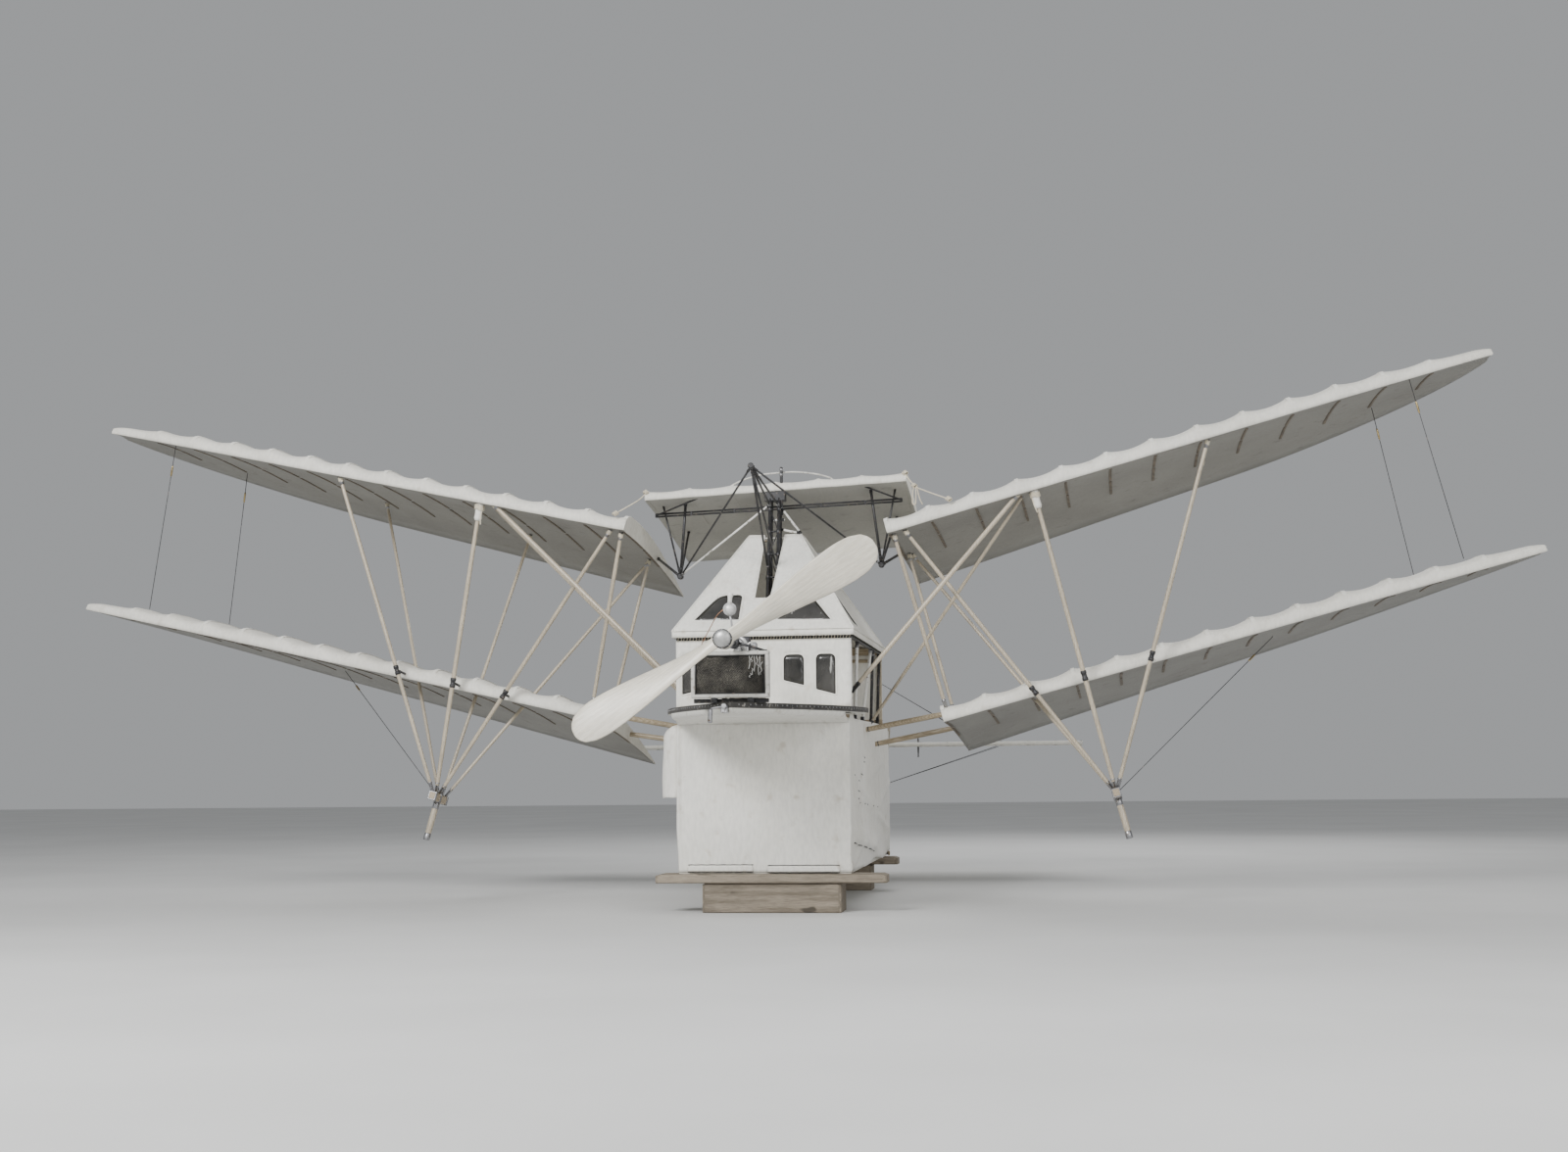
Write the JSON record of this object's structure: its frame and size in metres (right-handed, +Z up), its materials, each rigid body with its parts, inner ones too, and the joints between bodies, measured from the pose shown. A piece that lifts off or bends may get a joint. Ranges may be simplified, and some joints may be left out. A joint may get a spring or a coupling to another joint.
{
  "type": "flying boat",
  "caption": "Biplane flying boat parked on timber blocks, with a canvas-covered bow, windowed cabin, strut-braced wings, tractor propeller, rudder and elevator.",
  "frame": {"origin": "under the front cradle block, on the floor, below the hull's flat bow", "axes": "+Z up, -Y towards the nose and propeller, +X along the wings to the right seen from the front"},
  "size_m": [13.5602, 9.46, 4.6992],
  "materials": {
    "canvas": "heavy cream canvas, creased",
    "doped_fabric": "doped linen, taut over ribs",
    "spruce": "varnished spruce",
    "laminated_wood": "varnished laminated wood",
    "rough_timber": "weathered rough-sawn timber",
    "painted_wood": "painted plywood and planking",
    "dark_steel": "black painted steel tube",
    "cast_iron": "oily cast iron",
    "radiator_brass": "dull brass frame and dark core"
  },
  "bodies": {
    "airframe": {"upper_wing_right": "doped_fabric", "lower_wing_right": "doped_fabric", "front_strut_a_right": "spruce", "front_strut_b_right": "spruce", "front_strut_c_right": "spruce", "rear_strut_a_right": "spruce", "rear_strut_b_right": "spruce", "rear_strut_c_right": "spruce", "front_root_right": "spruce", "rear_root_right": "spruce", "front_stay_right": "spruce", "rear_stay_right": "spruce", "front_stub_right": "spruce", "rear_stub_right": "spruce", "float_mount_right": "spruce", "upper_wing_left": "doped_fabric", "lower_wing_left": "doped_fabric", "front_strut_a_left": "spruce", "front_strut_b_left": "spruce", "front_strut_c_left": "spruce", "rear_strut_a_left": "spruce", "rear_strut_b_left": "spruce", "rear_strut_c_left": "spruce", "front_root_left": "spruce", "rear_root_left": "spruce", "front_stay_left": "spruce", "rear_stay_left": "spruce", "front_stub_left": "spruce", "rear_stub_left": "spruce", "float_mount_left": "spruce", "hull": "painted_wood", "front_cradle": "rough_timber", "rear_cradle": "rough_timber", "bow_cover": "canvas", "foredeck": "spruce", "deck_beams": "spruce", "engine_bearers": "dark_steel", "engine": "cast_iron", "radiator": "radiator_brass", "starting_crank": "dark_steel", "cabin_front": "painted_wood", "cabin_rear": "painted_wood", "cabin_posts_left": "dark_steel", "cabin_posts_right": "dark_steel", "seat": "spruce", "roof": "canvas", "pylon": "dark_steel", "kingpost": "dark_steel", "truss_right": "dark_steel", "truss_left": "dark_steel", "spreader_bars": "dark_steel", "centre_wing": "doped_fabric", "tailplane": "doped_fabric", "fin": "doped_fabric"},
    "propeller": {"propeller": "laminated_wood"},
    "rudder": {"rudder": "doped_fabric"},
    "elevator": {"elevator": "doped_fabric"}
  },
  "joints": [
    {"name": "propeller_spin", "type": "hinge", "parent": "airframe", "child": "propeller", "pos_m": [0, -1.925, 2.19], "axis": [0, -1, 0], "continuous": true},
    {"name": "rudder_hinge", "type": "hinge", "parent": "airframe", "child": "rudder", "pos_m": [0, 6.8, 2.1], "axis": [0, 0, 1], "range_deg": [-25, 25]},
    {"name": "elevator_hinge", "type": "hinge", "parent": "airframe", "child": "elevator", "pos_m": [0, 6.64, 1.47], "axis": [1, 0, 0], "range_deg": [-22, 22]}
  ]
}
